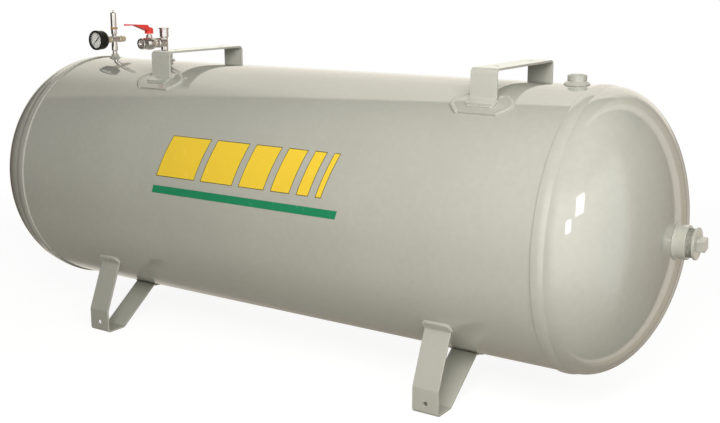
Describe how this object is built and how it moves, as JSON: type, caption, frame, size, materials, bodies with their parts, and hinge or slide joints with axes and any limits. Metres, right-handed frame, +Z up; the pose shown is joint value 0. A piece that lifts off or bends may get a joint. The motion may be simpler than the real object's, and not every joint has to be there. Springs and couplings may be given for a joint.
{
  "type": "horizontal compressed air receiver",
  "caption": "Horizontal welded steel air receiver with dished ends, bent strap feet, top mounting brackets, pressure gauge, safety valve, lever ball valve outlet and plugged sockets.",
  "frame": {"origin": "on the floor under the middle of the tank, at the bottom centre of the bounding box", "axes": "+X along the tank towards the end with the plugged top socket, -Y the front with the gauge face and the valve outlet, +Z up"},
  "size_m": [1.904, 0.6064, 0.7985],
  "materials": {
    "tank_paint": "gloss light grey enamel",
    "nickel_plate": "bright nickel plate",
    "brass": "turned bright brass",
    "gauge_black": "satin black",
    "dial_white": "matt white",
    "needle_black": "matt black",
    "gauge_glass": "clear",
    "lever_red": "gloss red coating"
  },
  "bodies": {
    "tank": {"shell": "tank_paint", "shell_weld": "tank_paint", "left_head": "tank_paint", "right_head": "tank_paint", "left_seam_weld": "tank_paint", "right_seam_weld": "tank_paint", "left_end_socket": "tank_paint", "right_end_socket": "tank_paint", "left_end_plug": "tank_paint", "right_end_plug": "tank_paint", "front_left_foot": "tank_paint", "front_right_foot": "tank_paint", "rear_left_foot": "tank_paint", "rear_right_foot": "tank_paint", "left_bracket": "tank_paint", "right_bracket": "tank_paint", "left_front_pad": "tank_paint", "left_rear_pad": "tank_paint", "right_front_pad": "tank_paint", "right_rear_pad": "tank_paint", "gauge_socket": "tank_paint", "outlet_socket": "tank_paint", "top_plug_socket": "tank_paint", "top_plug": "tank_paint", "drain_socket": "tank_paint", "drain_plug": "tank_paint", "gauge_nipple": "nickel_plate", "gauge_cross": "nickel_plate", "safety_valve": "nickel_plate", "safety_valve_pin": "nickel_plate", "outlet_bush": "nickel_plate", "outlet_tee": "nickel_plate", "tee_cap": "nickel_plate", "outlet_nipple": "nickel_plate", "ball_valve_body": "nickel_plate", "gauge_connector": "brass", "cross_rear_plug": "brass", "safety_valve_ring": "brass", "gauge_case": "gauge_black", "gauge_dial": "dial_white", "gauge_needle": "needle_black", "gauge_glass": "gauge_glass"},
    "valve_handle": {"ball_valve_ball": "nickel_plate", "ball_valve_stem": "nickel_plate", "ball_valve_lever": "lever_red"}
  },
  "joints": [
    {"name": "valve_handle_turn", "type": "hinge", "parent": "tank", "child": "valve_handle", "pos_m": [-0.484, -0.055, 0.718], "axis": [0, 0, -1], "range_deg": [0, 90]}
  ]
}
